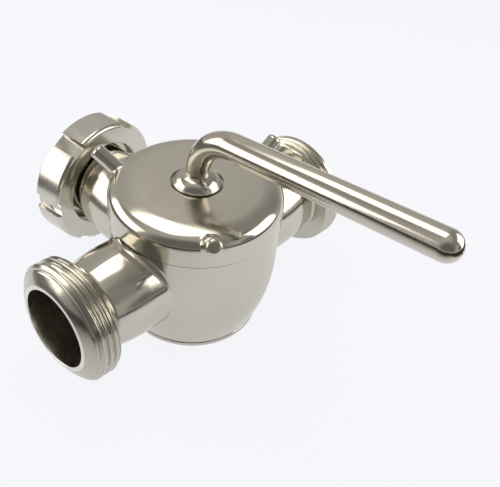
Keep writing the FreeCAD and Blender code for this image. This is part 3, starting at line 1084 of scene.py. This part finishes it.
@dataclass
class Studio:
    """Pale floor, room, lamps, and a dark card that only reflections see, painted shade in the
    metal's reflections.

    The floor glows a little, by one share for the camera and another for reflections. Each of the
    stops has a height of the sight line and how light the room is there. Each edge of the card has
    an azimuth, the two distances in metres between which it thickens, and how dark it gets.
    """

    floor_radius: float = 4.0
    floor_colour: str = "F6F7F9"
    glow_colour: str = "F9FAFE"
    glow: float = 0.92
    mirrored_glow: float = 0.64
    room_red: float = 1.035
    room_blue: float = 0.955
    card_radius: float = 1.6
    # Colour of the card, painted shade that only reflections see.
    reflected_shade_colour: str = "3A3834"
    lamps: tuple[Softbox, ...] = (
        Softbox("lamp_far_top", 77, 70, 31, 35, 1.9, 0.9),
        Softbox("lamp_left_window", 131.5, 18, 53, 35, 1.85, 0.68),
        Softbox("lamp_right", -45, 23, 38, 38, 2.2, 0.62))
    stops: tuple[tuple[float, float], ...] = (
        (0.0, 0.42), (0.1, 0.47), (0.5, 0.46), (0.8, 0.5), (1.0, 0.5))
    card_edges: tuple[tuple[float, float, float, float], ...] = (
        (200, 0.06, 0.42, 1.0), (-75, 0.33, 0.43, 1.0), (131, 0.25, 0.3, 0.9))
    patches: tuple[RoomPatch, ...] = (
        RoomPatch(215, 12, 32, 58, 0.36), RoomPatch(-12, 44, 16, 44, 0.6),
        RoomPatch(-78, 47, 10, 30, 0.6), RoomPatch(114, 42, 8, 20, 0.72),
        RoomPatch(-66, 2, 7, 18, 0.35), RoomPatch(42, 36, 8, 24, 1.15))

    def build(self) -> None:
        """Adds floor, card, room and lamps."""
        self.floor()
        self.card()
        self.room()
        for lamp in self.lamps:
            lamp.place()

    def floor(self) -> None:
        """Adds the plain pale floor, lit paper that a part of its own glow keeps even."""
        deselect()
        bpy.ops.mesh.primitive_circle_add(vertices=96, radius=self.floor_radius, fill_type="NGON")
        floor = bpy.context.object
        floor.name = "floor"
        material, tree, shader = new_material("floor_paper")
        shader.inputs["Base Color"].default_value = linear(self.floor_colour)
        shader.inputs["Roughness"].default_value = 0.9
        shader.inputs["Specular IOR Level"].default_value = 0.2
        path = add_node(tree, "ShaderNodeLightPath")
        rays = (("Is Camera Ray", self.glow), ("Is Glossy Ray", self.mirrored_glow))
        shares = [add_node(tree, "ShaderNodeMath", {"operation": "MULTIPLY"}, in0=path.outputs[ray],
                           in1=share).outputs[0] for ray, share in rays]
        glow = add_node(tree, "ShaderNodeEmission", Color=linear(self.glow_colour), Strength=1.0)
        mix = add_node(tree, "ShaderNodeMixShader", in0=added(tree, *shares), in1=shader.outputs[0],
                       in2=glow.outputs[0])
        tree.links.new(mix.outputs[0], tree.nodes["Material Output"].inputs["Surface"])
        floor.data.materials.append(material)

    def card(self) -> None:
        """Lays a dark card just over the floor, before and beside the valve: painted shade that
        darkens the metal's reflections there.

        Its edges thin out softly, and only reflections see it.
        """
        deselect()
        bpy.ops.mesh.primitive_circle_add(vertices=64, radius=self.card_radius, fill_type="NGON",
                                          location=(0, 0, MM))
        card = bpy.context.object
        card.name = "reflected_shade_card"
        material, tree, shader = new_material("reflected_shade_card")
        shader.inputs["Base Color"].default_value = linear(self.reflected_shade_colour)
        shader.inputs["Roughness"].default_value = 0.9
        place = add_node(tree, "ShaderNodeTexCoord").outputs["Object"]
        edges = [share_between(tree, facing(tree, place, azimuth, 0), start, end, 0.0, dark)
                 for azimuth, start, end, dark in self.card_edges]
        thick = edges[0]
        for edge in edges[1:]:
            thick = add_node(tree, "ShaderNodeMath", {"operation": "MAXIMUM"}, in0=thick,
                             in1=edge).outputs[0]
        clear = add_node(tree, "ShaderNodeBsdfTransparent")
        mix = add_node(tree, "ShaderNodeMixShader", in0=thick, in1=clear.outputs[0],
                       in2=shader.outputs[0])
        tree.links.new(mix.outputs[0], tree.nodes["Material Output"].inputs["Surface"])
        card.data.materials.append(material)
        # Painted shade: only reflections see the card, not the camera, shadows or diffuse light.
        card.visible_camera = card.visible_shadow = card.visible_diffuse = False

    def room(self) -> None:
        """Lights the room by the world, darker behind the camera and where nothing is lit."""
        world = bpy.data.worlds.new("studio_room")
        bpy.context.scene.world = world
        world.use_nodes = True
        tree = world.node_tree
        way = add_node(tree, "ShaderNodeTexCoord").outputs["Generated"]
        height = add_node(tree, "ShaderNodeSeparateXYZ", Vector=way).outputs["Z"]
        ramp = add_node(tree, "ShaderNodeValToRGB", Fac=height)
        elements = ramp.color_ramp.elements
        while len(elements) < len(self.stops):
            elements.new(0.5)
        for element, (where, level) in zip(elements, self.stops):
            element.position = where
            element.color = (level * self.room_red, level, level * self.room_blue, 1)
        level = ramp.outputs["Color"]
        for patch in self.patches:
            outer, inner = (math.cos(math.radians(angle)) for angle in (patch.outer, patch.inner))
            fade = share_between(tree, facing(tree, way, patch.azimuth, patch.elevation),
                                 outer, inner, 1.0, patch.share)
            level = add_node(tree, "ShaderNodeVectorMath", {"operation": "SCALE"}, in0=level,
                             Scale=fade).outputs["Vector"]
        tree.links.new(level, tree.nodes["Background"].inputs["Color"])


@dataclass
class Viewpoint:
    """Camera at the photograph's viewing angle."""

    position_mm: tuple[float, float, float] = (-292.5, -288.0, 408.5)
    azimuth: float = -50.635
    elevation: float = 40.692
    roll: float = 6.575
    lens_mm: float = 58.75

    def place(self) -> None:
        """Adds the camera and makes it the scene's own."""
        roll = math.radians(self.roll)
        back = direction(self.azimuth - 90, self.elevation)
        side = (-back).cross(Vector((0, 0, 1))).normalized()
        top = side.cross(-back)
        right = side * math.cos(roll) + top * math.sin(roll)
        up = top * math.cos(roll) - side * math.sin(roll)
        camera = bpy.data.cameras.new("camera")
        camera.lens = self.lens_mm
        camera.sensor_width = 36.0
        camera.clip_start = 0.01
        holder = bpy.data.objects.new("camera", camera)
        bpy.context.collection.objects.link(holder)
        pose = Matrix((right, up, back)).transposed().to_4x4()
        holder.matrix_world = Matrix.Translation(Vector(self.position_mm) * MM) @ pose
        bpy.context.scene.camera = holder


def dress_nodes() -> None:
    """Gives every CAD node the finish of the real piece."""
    body = BuffedSteel("stainless_casting_buffed", satin_axes=(Axis.RUN, Axis.BRANCH)).make()
    bar = BuffedSteel("stainless_bar_buffed", tint="CFCABE", line_mm=(0.5, 22.0, 0.5)).make()
    turned = {axis: TurnedSteel(f"stainless_turned_{axis.name.lower()}", axis).make()
              for axis in (Axis.PLUG, Axis.BRANCH)}
    finishes = {
        "valve_body": body,
        "base_plate": turned[Axis.PLUG],
        "union_liner": turned[Axis.BRANCH],
        "grip_peg_1": body, "grip_peg_2": body, "grip_peg_3": body,
        "lever": bar,
        "stem": turned[Axis.PLUG],
        "plug": TurnedSteel("stainless_taper_lapped", Axis.PLUG, tint="C4C1B8", roughness=0.34,
                            mark_mm=0.5).make(),
        "cap_gasket": MouldedSoft("ptfe_sheet", "F1F0EB", "E7E5DD", 0.5, 1.35).make(),
        "cap_bush": MouldedSoft("ptfe_bush", "F1F0EB", "E7E5DD", 0.42, 1.35).make(),
    }
    spring = TurnedSteel("spring_steel_blanked", Axis.PLUG, tint="B9B4AA", roughness=0.3,
                         anisotropy=0.2).make()
    rubber = MouldedSoft("epdm_black", "1B1B1D", "262628", 0.55, 1.5).make()
    for name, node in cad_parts.items():
        if name.startswith("disc_spring"):
            dress(node, spring)
        elif "seal" in name:
            dress(node, rubber)
        elif name in finishes:
            dress(node, finishes[name])


def main() -> None:
    """Builds the valve's looks, the studio and the camera."""
    logging.basicConfig(level=logging.INFO)
    Viewpoint().place()
    Studio().build()
    dress_nodes()
    end_steel = TurnedSteel("stainless_end_turned", Axis.RUN, tint="C8C5B9", roughness=0.16,
                            bore_mm=25.6, rim_mm=112.7).make()
    nut_steel = TurnedSteel("stainless_nut_turned", Axis.NUT, tint="D3D0C6", roughness=0.17).make()
    cap_steel = BuffedSteel("stainless_cap_faced_and_buffed", line_depth_mm=0.0002,
                            satin_axes=(Axis.PLUG,), satin_mm=41.0, satin_ease_mm=4.0,
                            satin_roughness=0.16).make()
    weld_steel = bpy.data.materials["stainless_casting_buffed"]
    pieces = [ThreadedEnd("threaded_end_front", (-1, 0, 0), start_turn=30).build(end_steel),
              ThreadedEnd("threaded_end_rear", (1, 0, 0), start_turn=100).build(end_steel),
              UnionNut().build(nut_steel)]
    pegs = tuple(GripPeg(azimuth) for azimuth in (-3.0, 117.5, 234.5))
    cap = ScrewCap(pegs)
    pieces += [cap.build(cap_steel), LeverFoot().build(bpy.data.materials["stainless_bar_buffed"])]
    pieces += [PegWeld(peg, number, cap.shoulder(), cap.shoulder_r).build(weld_steel)
               for number, peg in enumerate(pegs, 1)]
    for piece in pieces:
        log.info("%s: %d faces", piece.name, len(piece.data.polygons))
    bpy.context.scene.view_settings.view_transform = "Standard"


if __name__ == "__main__":
    main()
